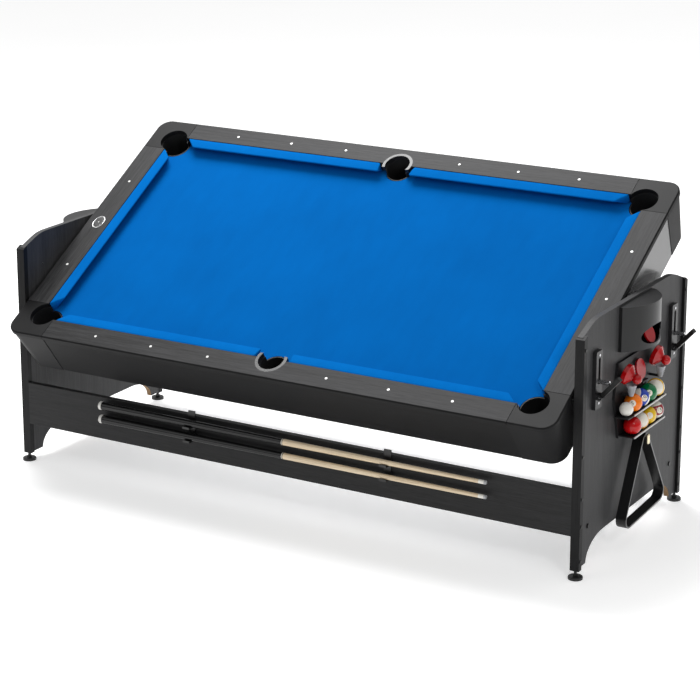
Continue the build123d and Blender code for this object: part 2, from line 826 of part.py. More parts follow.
def latch_plate(sx, sy):
    y_a, y_b = latch_y - latch_width / 2, latch_y + latch_width / 2
    plate = box_between((panel_outer, y_a, latch_bottom), (latch_face, y_b, latch_top))
    plate = fillet(plate.edges().filter_by(Axis.X).group_by(Axis.Z)[-1], 5)
    hollow = box_between(
        (panel_outer - 1, y_a + latch_sheet, latch_bottom + latch_sheet),
        (latch_face - latch_sheet, y_b - latch_sheet, latch_top - latch_sheet),
    )
    plate -= hollow
    slot_length = latch_slot_top - latch_slot_bottom
    slot = Plane.YZ.offset(latch_face - latch_sheet - 1)
    slot *= Pos(latch_y, (latch_slot_top + latch_slot_bottom) / 2) * Rot(0, 0, 90)
    plate -= extrude(slot * SlotOverall(slot_length, latch_slot_width), latch_sheet + 2)
    for s in (-1, 1):
        inner = latch_y + s * (lever_width / 2 + 0.5)
        y_low, y_high = sorted((inner, inner + s * lever_lug))
        tip = latch_face + lever_pivot_out
        lug = box_between((latch_face, y_low, lever_pivot_z - 8), (tip, y_high, lever_pivot_z + 8))
        lug += rod_y(8, y_low, y_high, tip, lever_pivot_z)
        plate += lug
    plate -= rod_y(lever_pin_radius, 0, 2 * latch_y, latch_face + lever_pivot_out, lever_pivot_z)
    if sx < 0:
        plate = mirror(plate, Plane.YZ)
    return mirror(plate, Plane.XZ) if sy < 0 else plate


def lever_pivot_pin(sx, sy):
    half = lever_width / 2 + 0.5 + lever_lug
    x = sx * (latch_face + lever_pivot_out)
    return rod_y(lever_pin_radius, sy * (latch_y - half), sy * (latch_y + half), x, lever_pivot_z)


def latch_lever(sx, sy):
    knuckle = rod_y(7, -lever_width / 2, lever_width / 2, 0, 0)
    arm = Pos(0, 0, lever_length / 2) * Box(lever_thickness, lever_width, lever_length)
    arm = fillet(arm.edges().filter_by(Axis.X).group_by(Axis.Z)[-1], 5)
    lever = knuckle + arm
    lever -= rod_y(lever_pin_radius + running_clearance, -lever_width, lever_width, 0, 0)
    lever = Rot(0, sx * lever_open_angle, 0) * lever
    return Pos(sx * (latch_face + lever_pivot_out), sy * latch_y, lever_pivot_z) * lever


def lock_pin(sx, sy):
    start = panel_inner + lock_pin_stub
    end = start + lock_pin_length
    pin = rod_x(lock_pin_radius, start, end, sy * latch_y, lock_pin_z)
    pin = chamfer(pin.edges().group_by(Axis.X)[0], 1.5)
    return mirror(pin, Plane.YZ) if sx < 0 else pin


def latch_screws(sx, sy):
    found = []
    for z in latch_screw_heights:
        head_end = sx * (latch_face + screw_head_height)
        head = rod_x(screw_head_radius, sx * latch_face, head_end, sy * latch_y, z)
        shank = rod_x(screw_radius, sx * panel_inner, sx * latch_face, sy * latch_y, z)
        found.append(head + shank)
    return found


# The accessory rack

def rack_back():
    outline = [(y, z) for y, z in rack_outline] + [(-y, z) for y, z in reversed(rack_outline)]
    face = make_face(Polyline(*outline, close=True))
    board = Pos(panel_outer, 0, 0) * extrude(Plane.YZ * face, rack_plate)
    end = plate_face + shelf_reach
    board += box_between(
        (plate_face, -shelf_upper_left, shelf_upper - shelf_sheet), (end, shelf_upper_right, shelf_upper)
    )
    board += box_between(
        (plate_face, -shelf_lower_half, shelf_lower - shelf_sheet), (end, shelf_lower_half, shelf_lower)
    )
    board += box_between(
        (plate_face, -ledge_half, ledge_height - shelf_sheet), (plate_face + 34, ledge_half, ledge_height)
    )
    for sy in (-1, 1):
        arm_out = plate_face + cup_from_plate
        low = (plate_face, sy * striker_y - 4, cup_top - cup_height)
        arm = box_between(low, (arm_out, sy * striker_y + 4, cup_top - cup_height + 6))
        board += arm - cup_cone(sy, 0)
    return board


def shelf_lips():
    start = plate_face + shelf_reach
    found = []
    for left, right, z in (
        (-shelf_upper_right, shelf_upper_right, shelf_upper),
        (-shelf_lower_half, shelf_lower_half, shelf_lower),
    ):
        low = (start, left, z - shelf_sheet)
        found.append(box_between(low, (start + shelf_lip_thickness, right, z + shelf_lip)))
    return found


def cup_cone(sy, inset):
    middle = Pos(plate_face + cup_from_plate, sy * striker_y, cup_top - cup_height / 2 + inset)
    return middle * Cone(cup_bottom_radius - inset, cup_top_radius - inset, cup_height)


def striker_cup(sy):
    return cup_cone(sy, 0) - cup_cone(sy, cup_wall)


def striker(sy):
    """A hockey striker stored on its side, base to the rack and knob outwards, tipped a little down."""
    base, knob = striker_base_radius, striker_knob_radius
    profile = ((0, base - 2), (2, base), (striker_base - 2, base), (striker_base, base - 3),
               (striker_base + 6, 22), (striker_base + 13, 13), (striker_knob_at - 9, 10))
    body = turned_part(Pos(0, 0, 0), *profile)
    body += Pos(striker_knob_at, 0, 0) * Sphere(knob)
    reach = plate_face + base * math.sin(math.radians(striker_tilt)) + 1
    return Pos(reach, sy * striker_y, striker_height) * Rot(0, striker_tilt, 0) * body


def cue_ball():
    spread = ball_radius + cue_ball_radius + ball_gap
    drop = ball_radius - cue_ball_radius
    y = -1.5 * ball_pitch - math.sqrt(spread**2 - drop**2)
    return Pos(ball_x, y, shelf_upper + cue_ball_radius + 0.1) * Sphere(cue_ball_radius)


def ball_row(height):
    offsets = [(k - 1.5) * ball_pitch for k in range(4)]
    return [Pos(ball_x, y, height + ball_radius + 0.1) * Sphere(ball_radius) for y in offsets]


def triangle_face(grow):
    """The rounded triangle's outline in (Y, Z), apex up, grown outwards by grow; the apex arc's
    centre is at the origin."""
    apex_drop = 2 * triangle_apex_radius
    half = triangle_side / 2
    height = half * math.sqrt(3)
    apex = (0.0, apex_drop)
    corners = [(sy * half, apex_drop - height) for sy in (-1, 1)]
    face = make_face(Polyline(apex, *corners, close=True))
    face = fillet(face.vertices().group_by(Axis.Y)[-1], triangle_apex_radius)
    face = fillet(face.vertices().group_by(Axis.Y)[0], triangle_corner_radius)
    return offset(face, grow) if grow else face


def rack_triangle():
    band = extrude(Plane.YZ * triangle_face(triangle_wall), triangle_depth)
    band -= extrude(Plane.YZ.offset(-1) * triangle_face(0), triangle_depth + 2)
    drop = triangle_apex_radius - hook_radius - hook_gap
    place = Pos(triangle_back, hook_y, hook_height) * Rot(triangle_lean, 0, 0) * Pos(0, 0, -drop)
    return place * band


def triangle_hook():
    end = triangle_back + triangle_depth + hook_end_radius + 1.5
    low, high = hook_height - hook_drop, hook_height + hook_rise
    hook = rod_x(hook_radius, panel_outer, end, hook_y, hook_height)
    hook += rod_z(hook_end_radius, low, high, end, hook_y)
    for z in (low, high):
        hook += Pos(end, hook_y, z) * Sphere(hook_end_radius)
    return hook + rod_x(9, panel_outer, panel_outer + 3, hook_y, hook_height)


# The cues

def cue_radius_at(x):
    joint = cue_butt_end + cue_length / 2
    if x < joint:
        share = (x - cue_butt_end) / (joint - cue_butt_end)
        return cue_butt_radius + share * (cue_joint_radius - cue_butt_radius)
    share = (x - joint) / (cue_length / 2)
    return cue_joint_radius + share * (cue_tip_radius - cue_joint_radius)


def cue_parts(height):
    place = Pos(0, cue_y, height)
    joint, end = cue_butt_end + cue_length / 2, cue_butt_end + cue_length
    butt_start, ferrule_start = cue_butt_end + cue_bumper, end - cue_ferrule

    def stretch(a, b):
        return turned_part(place, (a, cue_radius_at(a)), (b, cue_radius_at(b)))

    bumper = fillet(stretch(cue_butt_end, butt_start).edges().group_by(Axis.X)[0], 3)
    ferrule = fillet(stretch(ferrule_start, end).edges().group_by(Axis.X)[-1], 2)
    return stretch(butt_start, joint), stretch(joint, ferrule_start), (bumper, ferrule)


def cue_clip(x):
    front = -half_depth
    low_x, high_x = x - clip_width / 2, x + clip_width / 2
    clip = box_between((low_x, front - clip_sheet, clip_bottom), (high_x, front, clip_top))
    for height in cue_heights:
        radius = max(cue_radius_at(low_x), cue_radius_at(high_x))
        seat = height - radius - cue_rest_gap
        reach = cue_y - radius - 1
        clip += box_between((low_x, reach - clip_sheet, seat - clip_sheet), (high_x, front, seat))
        clip += box_between((low_x, reach - clip_sheet, seat - clip_sheet), (high_x, reach, seat + clip_lip))
    return clip


# Every node

fasteners = stand_fasteners()
screws = [screw for sx, sy in four_corners for screw in latch_screws(sx, sy)]


save("end_panels", *[without(end_panel(sx), fasteners + screws) for sx in (-1, 1)])
save("leg_posts", *[without(leg_post(sx, sy), fasteners) for sx, sy in four_corners])
save("stretchers", stretcher(-1), stretcher(1))
save("stretcher_brackets", *[without(stretcher_bracket(sx, sy), fasteners) for sx, sy in four_corners])
save("stand_fasteners", *fasteners)
save("foot_inserts", *[foot_insert(sx, sy) for sx, sy in four_corners])
for sx, sy in four_corners:
    save("foot_" + side_name(sx, sy), levelling_foot(sx, sy))

shell = apron_shell()
save_bed("pool_board", pool_board())
save_bed("play_cloth", play_cloth())
save_bed("long_top_rails", long_top_rail(-1), long_top_rail(1))
save_bed("end_top_rails", end_top_rail(-1), end_top_rail(1))
save_bed("corner_caps", *[corner_cap(sx, sy) for sx, sy in four_corners])
save_bed("side_pocket_rings", side_pocket_ring(-1), side_pocket_ring(1))
corner_places, side_places = pocket_places()
cups = [pocket_cup(x, y, corner_pocket_radius) for x, y in corner_places]
save_bed("pocket_cups", *cups, *[pocket_cup(x, y, side_pocket_radius) for x, y in side_places])
save_bed("cushions", *cushions())
save_bed("long_aprons", *long_aprons(shell))
save_bed("end_aprons", *end_aprons(shell))
save_bed("bed_bearers", *bed_bearers())
save_bed("hockey_board", hockey_board_panel())
save_bed("hockey_rails", *hockey_rails())
save_bed("air_plenum", plenum())
save_bed("blower_housing", blower_housing())
save_bed("blower_motor", blower_motor())
save_bed("blower_fan", blower_fan())
save_bed("rail_sights", *rail_sights())
save_bed("pivot_axles", pivot_axle(-1), pivot_axle(1))
save_bed("axle_collars", axle_collar(-1), axle_collar(1))
save("pivot_bushes", pivot_bush(-1), pivot_bush(1))

save("puck_housings", puck_housing(-1), puck_housing(1))
save("stored_pucks", *stored_pucks())
save("latch_plates", *[without(latch_plate(sx, sy), screws) for sx, sy in four_corners])
save("latch_screws", *screws)
save("lever_pivot_pins", *[lever_pivot_pin(sx, sy) for sx, sy in four_corners])
for sx, sy in four_corners:
    save("latch_lever_" + side_name(sx, sy), latch_lever(sx, sy))
    save("lock_pin_" + side_name(sx, sy), lock_pin(sx, sy))

save("rack_back", rack_back())
save("shelf_lips", *shelf_lips())
save("striker_cups", striker_cup(-1), striker_cup(1))
save("striker_front", striker(-1))
save("striker_rear", striker(1))
save("cue_ball", cue_ball())
save("object_balls", *ball_row(shelf_upper), *ball_row(shelf_lower))
save("triangle_hook", triangle_hook())
save("rack_triangle", rack_triangle())

save("cue_clips", *[cue_clip(x) for x in clip_places])
for name, height in zip(("upper", "lower"), cue_heights):
    butt, shaft, ends = cue_parts(height)
    save(f"{name}_cue_butt", butt)
    save(f"{name}_cue_shaft", shaft)
    save(f"{name}_cue_ends", *ends)
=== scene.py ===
import json
import math

import bmesh
import bpy
from mathutils import Matrix, Vector


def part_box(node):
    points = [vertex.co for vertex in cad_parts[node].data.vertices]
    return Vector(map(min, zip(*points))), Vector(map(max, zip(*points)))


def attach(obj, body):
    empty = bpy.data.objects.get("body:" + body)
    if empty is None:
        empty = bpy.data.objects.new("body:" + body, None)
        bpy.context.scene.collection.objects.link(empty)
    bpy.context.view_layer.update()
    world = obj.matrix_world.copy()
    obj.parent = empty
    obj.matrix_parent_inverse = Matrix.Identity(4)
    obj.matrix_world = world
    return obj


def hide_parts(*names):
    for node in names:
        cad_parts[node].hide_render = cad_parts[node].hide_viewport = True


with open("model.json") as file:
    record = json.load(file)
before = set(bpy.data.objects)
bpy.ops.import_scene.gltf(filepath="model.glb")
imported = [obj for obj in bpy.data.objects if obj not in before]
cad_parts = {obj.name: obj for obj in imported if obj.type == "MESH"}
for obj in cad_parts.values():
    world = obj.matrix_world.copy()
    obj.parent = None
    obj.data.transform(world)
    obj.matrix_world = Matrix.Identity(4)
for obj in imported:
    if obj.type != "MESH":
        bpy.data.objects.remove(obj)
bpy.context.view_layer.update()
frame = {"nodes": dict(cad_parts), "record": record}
record = frame["record"]
nodes = frame["nodes"]
bedJoint = next(j for j in record["behaviour"]["joints"] if j["name"] == "bed_turn")
bedTilt = math.radians(-bedJoint["range_deg"][0])
bedMatrix = Matrix.Translation(bedJoint["pos_m"]) @ Matrix.Rotation(bedTilt, 4, "X")

# camera
shot = {"place": (3.671, -6.223, 2.701), "yaw": 30.376, "pitch": 14.802, "lens": 116.91, "shift": -0.14,
        "sensor": 36, "farthest": 60}
camera = bpy.data.objects.new("camera", bpy.data.cameras.new("camera"))
bpy.context.scene.collection.objects.link(camera)
camera.location = shot["place"]
camera.rotation_euler = (math.radians(90 - shot["pitch"]), 0, math.radians(shot["yaw"]))
camera.data.lens = shot["lens"]
camera.data.sensor_width = shot["sensor"]
camera.data.shift_y = shot["shift"]
camera.data.clip_end = shot["farthest"]
bpy.context.scene.camera = camera
print("camera set")


# shader helpers
class Level:
    def __init__(self, net, socket):
        self.net = net
        self.socket = socket

    def maths(self, operation, first, second=None):
        inputs = {0: first} if second is None else {0: first, 1: second}
        return self.net.node("ShaderNodeMath", {"operation": operation}, inputs)

    def __add__(self, other): return self.maths("ADD", self, other)
    def __radd__(self, other): return self.maths("ADD", other, self)
    def __sub__(self, other): return self.maths("SUBTRACT", self, other)
    def __rsub__(self, other): return self.maths("SUBTRACT", other, self)
    def __mul__(self, other): return self.maths("MULTIPLY", self, other)
    def __rmul__(self, other): return self.maths("MULTIPLY", other, self)
    def __mod__(self, other): return self.maths("FLOORED_MODULO", self, other)
    def __rmod__(self, other): return self.maths("FLOORED_MODULO", other, self)
    def __lt__(self, other): return self.maths("LESS_THAN", self, other)
    def __gt__(self, other): return self.maths("GREATER_THAN", self, other)
    def __abs__(self): return self.maths("ABSOLUTE", self)
    def most(self, other): return self.maths("MAXIMUM", self, other)
    def root(self): return self.maths("SQRT", self)
    def sine(self): return self.maths("SINE", self)


class Net:
    def __init__(self, owner):
        self.material = bpy.data.materials.new(owner) if isinstance(owner, str) else owner
        self.material.use_nodes = True
        self.tree = self.material.node_tree
        self.shader = next(n for n in self.tree.nodes if n.type in ("BSDF_PRINCIPLED", "BACKGROUND"))

    def put(self, socket, value):
        if isinstance(value, Level):
            self.tree.links.new(value.socket, socket)
        elif isinstance(value, (tuple, list)) and socket.type == "RGBA":
            socket.default_value = (*value[:3], 1.0)
        else:
            socket.default_value = value

    def node(self, kind, settings=None, inputs=None, output=0):
        made = self.tree.nodes.new(kind)
        for key, value in (settings or {}).items():
            if key == "stops":
                self.setStops(made.color_ramp, value)
            else:
                setattr(made, key, value)
        for key, value in (inputs or {}).items():
            self.put(made.inputs[key], value)
        return Level(self, made.outputs[output])

    def setStops(self, ramp, stops):
        while len(ramp.elements) < len(stops):
            ramp.elements.new(0.5)
        for element, (place, colour) in zip(ramp.elements, stops):
            colour = colour if isinstance(colour, (tuple, list)) else (colour,) * 3
            element.position = place
            element.color = (*colour[:3], 1.0)

    def coords(self, turned=False):
        places = self.node("ShaderNodeTexCoord", output="Object")
        return self.levelled(places, "POINT") if turned else places

    def normals(self, turned=False):
        facing = self.node("ShaderNodeNewGeometry", output="Normal")
        return self.levelled(facing, "VECTOR") if turned else facing

    def levelled(self, places, kind):
        # takes the tilt out, so that a pattern lies along the bed
        return self.node("ShaderNodeMapping", {"vector_type": kind},
                         {"Vector": places, "Rotation": (-bedTilt, 0, 0)})

    def scaled(self, places, sizes):
        return self.node("ShaderNodeMapping", {"vector_type": "POINT"}, {"Vector": places, "Scale": sizes})

    def axes(self, places):
        split = self.tree.nodes.new("ShaderNodeSeparateXYZ")
        self.put(split.inputs[0], places)
        return [Level(self, out) for out in split.outputs]

    def noise(self, places, scale, detail, rough=0.5):
        return self.node("ShaderNodeTexNoise", None,
                         {"Vector": places, "Scale": scale, "Detail": detail, "Roughness": rough})

    def mix(self, share, first, second):
        # the colour sockets of this node share their names with others, so they go by number
        return self.node("ShaderNodeMix", {"data_type": "RGBA"}, {0: share, 6: first, 7: second}, output=2)

    def ramp(self, value, stops):
        return self.node("ShaderNodeValToRGB", {"stops": stops}, {0: value})

    def bump(self, height, distance):
        return self.node("ShaderNodeBump", None, {"Height": height, "Distance": distance})

    def finish(self, **sockets):
        names = {"colour": "Base Color", "rough": "Roughness", "metal": "Metallic", "normal": "Normal",
                 "coat": "Coat Weight", "alpha": "Alpha", "specular": "Specular IOR Level",
                 "glow": "Emission Strength", "glowColour": "Emission Color"}
        for key, value in sockets.items():
            self.put(self.shader.inputs[names[key]], value)
        return self.material


finishes = {}


def shade(colour, share, lift=0.0):
    return tuple(min(1.0, c * share + lift) for c in colour)


def plastic(name, colour, rough, grain=0.00002, grainScale=2600, coat=0.0, specular=0.5):
    net = Net(name)
    places = net.coords()
    cloud = net.noise(places, 14, 3)
    fine = net.noise(places, grainScale, 2)
    stops = [(0.3, shade(colour, 0.86)), (0.7, shade(colour, 1.12, 0.002))]
    return net.finish(colour=net.ramp(cloud, stops), rough=rough + (cloud - 0.5) * 0.1,
                      normal=net.bump(fine, grain), coat=coat, specular=specular)


def metal(name, colour, rough, streak=(40, 900, 900)):
    net = Net(name)
    places = net.coords()
    lines = net.noise(net.scaled(places, streak), 3, 4)
    stain = net.noise(places, 30, 4)
    return net.finish(colour=net.ramp(stain, [(0.25, shade(colour, 0.78)), (0.7, colour)]), metal=1.0,
                      rough=rough + (lines - 0.5) * 0.22, normal=net.bump(lines, 0.00001))


# wood grain printed and pressed into a foil
grainLook = {"across": 38.0, "along": 1.6, "scale": 4.5, "broad": 0.16, "pore": 3.2, "poreDepth": 0.6,
             "poreShade": 0.45}


def laminate(name, look, depth, coarse=1.0):
    # look["along"] is the axis that the grain follows
    net = Net(name)
    places = net.coords(look["turned"])
    stretch = [grainLook["across"] * coarse] * 3
    stretch["XYZ".index(look["along"])] = grainLook["along"]
    lines = net.noise(net.scaled(places, tuple(stretch)), grainLook["scale"], 8, 0.66)
    broad = net.noise(net.scaled(places, tuple(s * grainLook["broad"] for s in stretch)), 3.0, 3)
    specks = net.noise(net.scaled(places, tuple(s * grainLook["pore"] for s in stretch)), 5, 3)
    pore = net.axes(net.ramp(specks, [(0.56, 0.0), (0.66, 1.0)]))[0]
    tone = lines * 0.68 + broad * 0.32
    between = tuple((a + b) / 2 for a, b in zip(look["dark"], look["light"]))
    colour = net.ramp(tone, [(0.36, look["dark"]), (0.5, between), (0.66, look["light"])])
    colour = net.mix(pore * 0.55, colour, shade(look["dark"], grainLook["poreShade"]))
    rough = look["rough"] + (tone - 0.5) * 0.2
    return net, colour, rough, net.bump(tone - pore * grainLook["poreDepth"], depth)


# raw particle board
boardLook = {"tone": (0.36, 0.235, 0.13), "chipStretch": (1, 1, 2.2), "chipScale": 420, "rough": 0.85}


def boardFinish():
    net = Net("raw_board")
    places = net.coords()
    chips = net.node("ShaderNodeTexVoronoi", None, {"Vector": net.scaled(places, boardLook["chipStretch"]),
                                                    "Scale": boardLook["chipScale"]}, output="Color")
    fine = net.noise(places, 700, 4)
    ground = net.ramp(fine, [(0.3, shade(boardLook["tone"], 0.62)), (0.7, shade(boardLook["tone"], 1.25))])
    return net.finish(colour=net.mix(0.25, ground, chips), rough=boardLook["rough"],
                      normal=net.bump(fine, 0.0002))


finishes["raw_board"] = boardFinish()

# cloth
clothLook = {"base": (0.0004, 0.118, 0.42), "deep": (0.0004, 0.100, 0.36), "cushion": (0.0006, 0.142, 0.49),
             "fuzz": 2400, "weave": 5200, "rough": 0.95, "specular": 0.02}


def napped(name, colour, deep):
    net = Net(name)
    places = net.coords(True)
    x, y = net.axes(places)[:2]
    nap = net.noise(net.scaled(places, (1, 0.35, 1)), 26, 5, 0.6)
    blotch = net.noise(places, 3.2, 3)
    fuzz = net.noise(places, clothLook["fuzz"], 3, 0.7)
    weave = (x * clothLook["weave"]).sine() * (y * clothLook["weave"]).sine()
    tint = net.ramp(nap * 0.4 + blotch * 0.6, [(0.3, deep), (0.68, colour)])
    tips = net.axes(net.ramp(fuzz, [(0.55, 0.0), (0.8, 1.0)]))[0]
    tint = net.mix(tips * 0.35, tint, shade(colour, 1.12, 0.002))
    return net.finish(colour=tint, rough=clothLook["rough"], specular=clothLook["specular"],
                      normal=net.bump(fuzz * 0.7 + weave * 0.12, 0.00025))


finishes["cloth"] = napped("bed_cloth", clothLook["base"], clothLook["deep"])
finishes["cushion"] = napped("cushion_cloth", clothLook["cushion"], clothLook["base"])

# laminated boards; the sides and the chamfer of a rail with an edge are plain black moulding
woods = {
    "rail": {"dark": (0.009, 0.009, 0.0095), "light": (0.046, 0.046, 0.048), "along": "X", "rough": 0.52,
             "turned": True, "specular": 0.16, "edge": (0.006, 0.006, 0.0063)},
    "apron": {"dark": (0.004, 0.004, 0.0043), "light": (0.010, 0.010, 0.0105), "along": "X", "rough": 0.5,
              "turned": True, "specular": 0.12},
    "post": {"dark": (0.006, 0.006, 0.0063), "light": (0.015, 0.015, 0.0156), "along": "Z", "rough": 0.48,
             "turned": False, "specular": 0.16},
    "stretcher_board": {"dark": (0.009, 0.009, 0.0092), "light": (0.021, 0.021, 0.022), "along": "X",
                        "rough": 0.52, "turned": False, "specular": 0.25},
    # the end apron is the apron laminate painted lighter: the gloss is real, the lighter colour is a painted
    # reflection of the bright floor
    "end_apron": {"dark": (0.030, 0.030, 0.032), "light": (0.055, 0.055, 0.058), "along": "Y", "rough": 0.24,
                  "turned": True, "specular": 0.9},
}
woods["end_rail"] = {**woods["rail"], "along": "Y"}
for slotName, look in woods.items():
    net, colour, rough, normal = laminate(slotName + "_laminate", look, 0.00008)
    if "edge" in look:
        colour = net.mix(net.axes(net.normals(True))[2] < 0.9, colour, look["edge"])
    finishes[slotName] = net.finish(colour=colour, rough=rough, normal=normal, specular=look["specular"])

panelLook = {"dark": (0.022, 0.022, 0.023), "light": (0.058, 0.058, 0.060), "along": "Z", "rough": 0.55,
             "turned": False, "specular": 0.3, "coarse": 1.3, "arch": (0.30, 0.19, 0.10), "archTop": 0.1035,
             "archHalf": 0.330, "chipStretch": (1, 1, 1.5), "chipScale": 520}


def panelFinish():
    # the arch at the floor is cut through the foil and shows the raw board
    net, colour, rough, normal = laminate("panel_laminate", panelLook, 0.0001, panelLook["coarse"])
    y, z = net.axes(net.coords())[1:]
    facing = net.axes(net.normals())[0]
    cut = (abs(facing) < 0.5) * (z < panelLook["archTop"]) * (abs(y) < panelLook["archHalf"])
    chips = net.noise(net.scaled(net.coords(), panelLook["chipStretch"]), panelLook["chipScale"], 4)
    raw = net.ramp(chips, [(0.3, shade(panelLook["arch"], 0.5)), (0.7, panelLook["arch"])])
    return net.finish(colour=net.mix(cut, colour, raw), rough=rough + cut * 0.3, normal=normal,
                      specular=panelLook["specular"])


finishes["panel_board"] = panelFinish()

# mouldings and small parts
plastics = {
    "corner_plastic": {"name": "corner_moulding", "colour": (0.0075, 0.0075, 0.008), "rough": 0.5,
                       "grain": 0.00005, "grainScale": 1500, "specular": 0.14},
    "ring_plastic": {"name": "side_ring", "colour": (0.012, 0.012, 0.0125), "rough": 0.36},
    "pocket_plastic": {"name": "pocket_cup", "colour": (0.006, 0.006, 0.0062), "rough": 0.6},
    "nylon": {"name": "pivot_bush", "colour": (0.03, 0.03, 0.032), "rough": 0.45},
    "latch_plate": {"name": "lock_plate", "colour": (0.010, 0.010, 0.011), "rough": 0.38, "grain": 0.00004,
                    "grainScale": 1700},
    "rack": {"name": "rack_moulding", "colour": (0.008, 0.008, 0.009), "rough": 0.5, "specular": 0.3},
    "rack_lip": {"name": "rack_lip", "colour": (0.46, 0.46, 0.45), "rough": 0.3},
    "clip_plastic": {"name": "cue_clip", "colour": (0.008, 0.008, 0.008), "rough": 0.35},
    "hockey_rail": {"name": "hockey_rail", "colour": (0.015, 0.015, 0.017), "rough": 0.32},
    "plenum": {"name": "air_plenum", "colour": (0.22, 0.22, 0.22), "rough": 0.5},
    "blower": {"name": "blower_shell", "colour": (0.02, 0.02, 0.02), "rough": 0.5},
    "fan_plastic": {"name": "blower_fan", "colour": (0.12, 0.12, 0.12), "rough": 0.45},
    "lever": {"name": "lock_lever", "colour": (0.006, 0.006, 0.006), "rough": 0.36, "specular": 0.3},
    "foot_plastic": {"name": "foot_moulding", "colour": (0.008, 0.008, 0.008), "rough": 0.4},
    "black_screws": {"name": "black_oxide", "colour": (0.004, 0.004, 0.004), "rough": 0.4, "specular": 0.3},
    "sight": {"name": "rail_sight", "colour": (0.80, 0.80, 0.78), "rough": 0.25, "grain": 0.000005,
              "grainScale": 900, "coat": 0.4},
    "striker_red": {"name": "striker_red", "colour": (0.40, 0.001, 0.003), "rough": 0.1, "grain": 0.000004,
                    "grainScale": 700, "coat": 0.3, "specular": 0.3},
    "puck_red": {"name": "puck_red", "colour": (0.36, 0.001, 0.005), "rough": 0.18, "grain": 0.000004,
                 "grainScale": 700, "coat": 0.2, "specular": 0.25},
    "ball_white": {"name": "cue_ball", "colour": (0.78, 0.76, 0.70), "rough": 0.1, "grain": 0.000002,
                   "grainScale": 300, "coat": 0.8},
}
for slotName, look in plastics.items():
    finishes[slotName] = plastic(**look)
finishes["ball"] = finishes["ball_white"]

metals = {
    "zinc": {"name": "zinc_plate", "colour": (0.60, 0.60, 0.62), "rough": 0.34},
    "screws": {"name": "screw_plate", "colour": (0.74, 0.74, 0.76), "rough": 0.25, "streak": (600, 600, 600)},
    "pin_steel": {"name": "pin_steel", "colour": (0.55, 0.55, 0.57), "rough": 0.24},
    "axle_steel": {"name": "axle_steel", "colour": (0.50, 0.50, 0.52), "rough": 0.3},
    "motor": {"name": "motor_can", "colour": (0.52, 0.52, 0.54), "rough": 0.35},
    "hook_metal": {"name": "hook_brass", "colour": (0.86, 0.76, 0.54), "rough": 0.2},
}
for slotName, look in metals.items():
    finishes[slotName] = metal(**look)

# edge is the light grey of the painted highlight on the lower lip of the finger hole
housingLook = {"shell": (0.009, 0.0093, 0.0098), "edge": (0.20, 0.20, 0.205), "edgeLow": 0.652,
               "edgeHigh": 0.680, "edgeHalf": 0.072, "rough": 0.36, "specular": 0.4}


def housingFinish():
    # the upward-facing lower lip of the finger hole is painted light grey: a painted highlight
    net = Net("pivot_cover")
    places = net.coords()
    y, z = net.axes(places)[1:]
    up = net.axes(net.normals())[2]
    between = (z > housingLook["edgeLow"]) * (z < housingLook["edgeHigh"])
    edge = (up > 0.35) * between * (abs(y) < housingLook["edgeHalf"])
    cloud = net.noise(places, 14, 3)
    shell = net.ramp(cloud, [(0.3, shade(housingLook["shell"], 0.88)), (0.7, housingLook["shell"])])
    return net.finish(colour=net.mix(edge, shell, housingLook["edge"]),
                      rough=housingLook["rough"] + (cloud - 0.5) * 0.1,
                      normal=net.bump(net.noise(places, 1900, 2), 0.00003), specular=housingLook["specular"])


finishes["housing"] = housingFinish()

# rim is the grey of the painted highlight on the faces square to X
triangleLook = {"black": (0.005, 0.005, 0.0055), "rim": (0.16, 0.16, 0.165), "rough": 0.3, "specular": 0.4}


def triangleFinish():
    # the faces square to X are painted grey as a painted highlight, the other faces stay glossy black
    net = Net("triangle_moulding")
    places = net.coords()
    facing = net.axes(net.normals())[0]
    cloud = net.noise(places, 40, 4)
    rim = net.ramp(cloud, [(0.3, shade(triangleLook["rim"], 0.7)), (0.7, triangleLook["rim"])])
    return net.finish(colour=net.mix(abs(facing) > 0.9, triangleLook["black"], rim),
                      rough=triangleLook["rough"] + cloud * 0.1,
                      normal=net.bump(net.noise(places, 1500, 2), 0.00003), specular=triangleLook["specular"])


finishes["triangle_plastic"] = triangleFinish()

cupLook = {"dark": (0.30, 0.31, 0.33), "light": (0.46, 0.47, 0.50), "rough": 0.18, "alpha": 0.62, "coat": 0.4}


def cupFinish():
    net = Net("striker_cup")
    cloud = net.noise(net.coords(), 60, 3)
    return net.finish(colour=net.ramp(cloud, [(0.3, cupLook["dark"]), (0.7, cupLook["light"])]),
                      rough=cupLook["rough"] + cloud * 0.1, alpha=cupLook["alpha"], coat=cupLook["coat"])


finishes["cup_plastic"] = cupFinish()

# cues
cueLook = {"ringPlace": 0.0195, "ringHalf": 0.0016, "butt": (0.004, 0.004, 0.0045),
           "buttLight": (0.007, 0.007, 0.007), "ring": (0.62, 0.58, 0.50), "shaftDark": (0.55, 0.40, 0.24),
           "shaftLight": (0.80, 0.66, 0.46), "ferrule": (0.82, 0.80, 0.74), "tip": (0.40, 0.41, 0.42),
           "tipStart": 0.7405, "bumperDark": (0.58, 0.57, 0.54), "bumperLight": (0.70, 0.69, 0.66)}


def cueButtFinish():
    net = Net("cue_butt")
    x = net.axes(net.coords())[0]
    ring = abs(x - cueLook["ringPlace"]) < cueLook["ringHalf"]
    cloud = net.noise(net.scaled(net.coords(), (3, 60, 60)), 6, 4)
    base = net.ramp(cloud, [(0.3, cueLook["butt"]), (0.75, cueLook["buttLight"])])
    return net.finish(colour=net.mix(ring, base, cueLook["ring"]), rough=0.13 + cloud * 0.04, coat=0.15,
                      specular=0.3)


